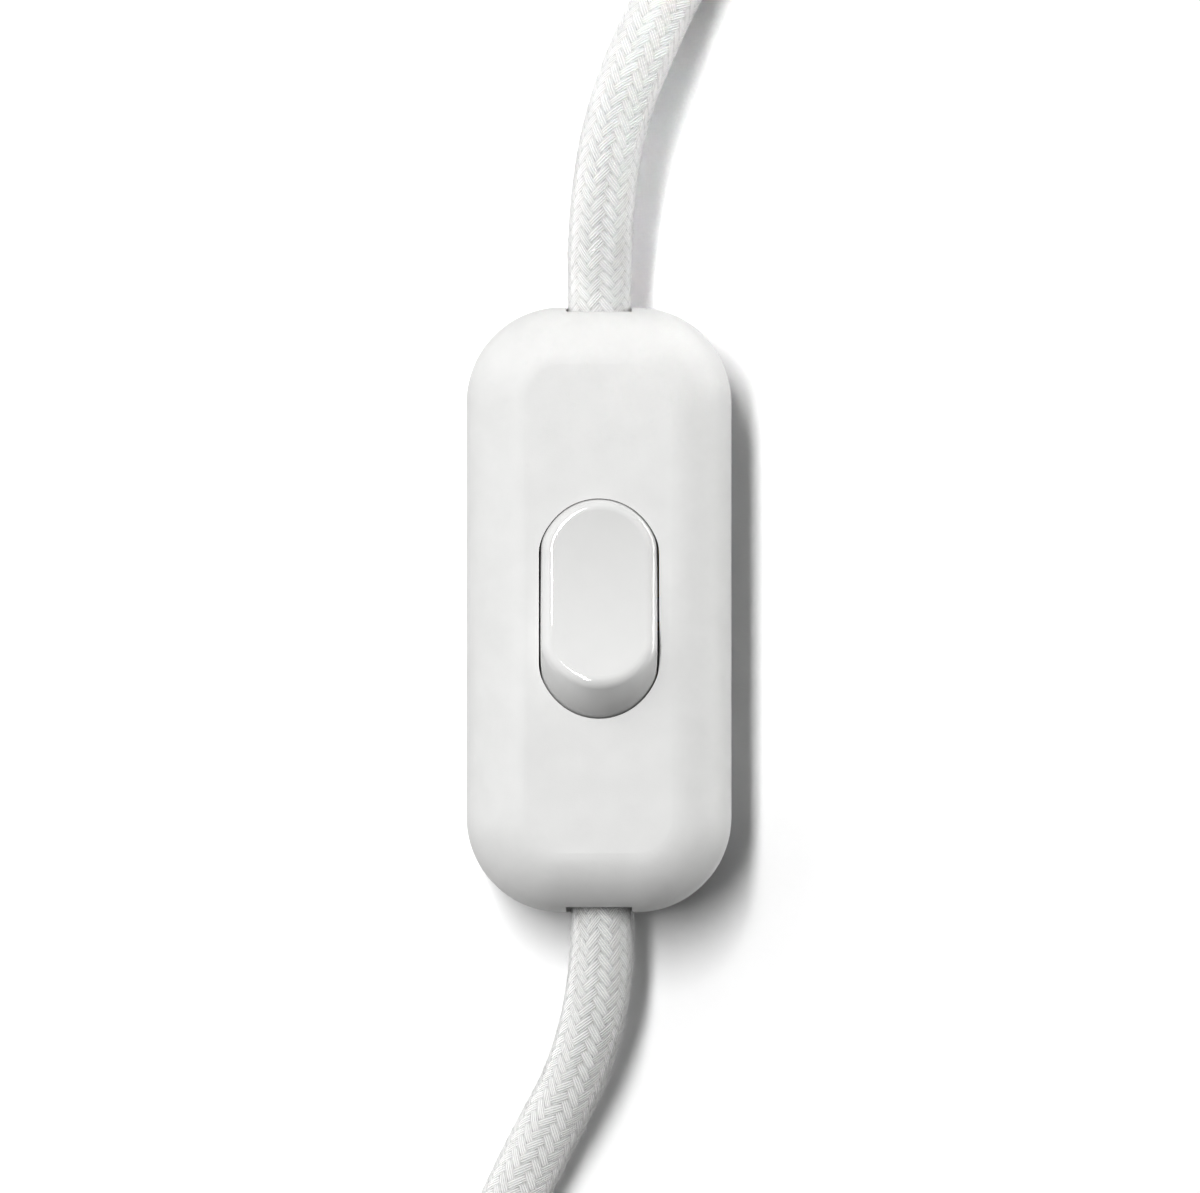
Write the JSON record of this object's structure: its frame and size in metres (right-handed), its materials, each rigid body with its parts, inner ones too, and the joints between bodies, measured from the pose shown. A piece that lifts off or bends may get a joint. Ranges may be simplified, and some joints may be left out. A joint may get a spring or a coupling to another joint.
{
  "type": "inline cord switch",
  "caption": "Inline rocker switch in an oblong rounded housing on a round textile lamp cord, with a flat two pin plug at one end and bare cores at the other",
  "frame": {"origin": "bottom centre of the switch housing, on the surface it lies on", "axes": "+Y along the cord towards the lamp, the housing's longest side; +Z out of the rocker's face, the shortest side; +X across"},
  "size_m": [0.0488, 0.388, 0.0222],
  "materials": {
    "white_cover": "matte white moulded plastic, fine grain",
    "white_rocker": "gloss white moulded plastic",
    "natural_plastic": "natural nylon inner piece",
    "brass": "brass strip and blocks",
    "silver_contact": "silver contact face",
    "steel": "zinc plated steel",
    "copper": "bare copper strands",
    "brown_core": "brown core insulation",
    "blue_core": "blue core insulation",
    "white_braid": "white textile braid",
    "white_tie": "white soft plastic tie",
    "plug_plastic": "white moulded flexible plastic",
    "nickel": "nickel plated brass pins",
    "black_plastic": "dark plastic pin sleeve"
  },
  "bodies": {
    "housing": {"top_cover": "white_cover", "base_shell": "white_cover", "housing_screws": "steel", "lamp_live_terminal": "brass", "plug_live_terminal": "brass", "fixed_contact_rivet": "silver_contact", "neutral_terminal": "brass", "terminal_screws": "steel", "lamp_cord_grip": "natural_plastic", "plug_cord_grip": "natural_plastic", "cord_grip_screws": "steel", "lamp_live_core": "brown_core", "lamp_neutral_core": "blue_core", "plug_live_core": "brown_core", "plug_neutral_core": "blue_core", "core_strands": "copper", "lamp_cord": "white_braid", "lamp_hank": "white_braid", "lamp_hank_ties": "white_tie", "lamp_end_live_core": "brown_core", "lamp_end_neutral_core": "blue_core", "ferrules": "nickel", "plug_cord": "white_braid", "plug_hank": "white_braid", "plug_hank_ties": "white_tie", "plug_tail": "white_braid", "plug_body": "plug_plastic", "plug_pins": "nickel", "plug_pin_sleeves": "black_plastic"},
    "rocker_body": {"rocker": "white_rocker", "plunger_spring": "steel"},
    "plunger_body": {"plunger": "natural_plastic"},
    "lever_body": {"contact_lever": "brass", "lever_contact_rivet": "silver_contact"}
  },
  "joints": [
    {"name": "rocker_tilt", "type": "hinge", "parent": "housing", "child": "rocker_body", "pos_m": [0, 0, 0.013], "axis": [1, 0, 0], "range_deg": [0, 24]},
    {"name": "plunger_slide", "type": "slide", "parent": "rocker_body", "child": "plunger_body", "axis": [0, 0.2079, 0.9781], "range_m": [0, 0.0006], "stiffness_N_per_m": 500, "springref_m": -0.0012, "deforming": ["plunger_spring"]},
    {"name": "lever_tilt", "type": "hinge", "parent": "housing", "child": "lever_body", "pos_m": [0, 0, 0.0067], "axis": [1, 0, 0], "range_deg": [-12, 0]}
  ],
  "couplings": [
    {"joint": "lever_tilt", "follows": "rocker_tilt", "ratio": -0.5}
  ]
}
